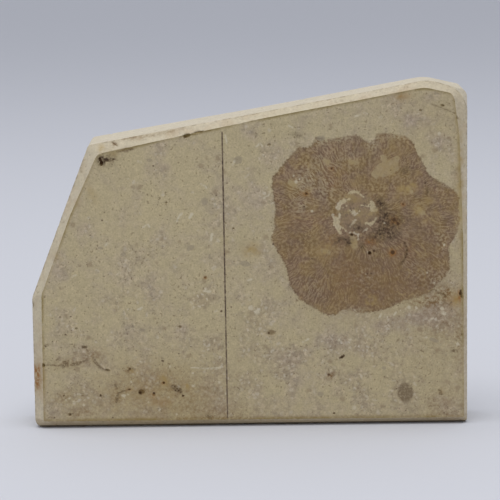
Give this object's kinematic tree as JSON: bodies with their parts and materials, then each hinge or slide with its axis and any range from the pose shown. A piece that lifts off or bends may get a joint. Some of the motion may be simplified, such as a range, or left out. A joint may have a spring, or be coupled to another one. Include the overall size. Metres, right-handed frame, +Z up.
{
  "type": "fossil sponge slab",
  "caption": "Sawn limestone slab with one polished face that shows a fossil sponge cut across, standing on its sawn bottom edge.",
  "frame": {"origin": "middle of the foot, on the surface the slab stands on", "axes": "+Z up, +X to the right along the slab as the polished face is looked at, -Y out of the polished face"},
  "size_m": [0.15, 0.024, 0.1188],
  "materials": {
    "sponge_limestone": "fine grey-buff limestone, satin polish on the front face, sawn and matt on the edges and back"
  },
  "bodies": {
    "root": {"fossil_sponge_slab": "sponge_limestone"}
  },
  "joints": []
}
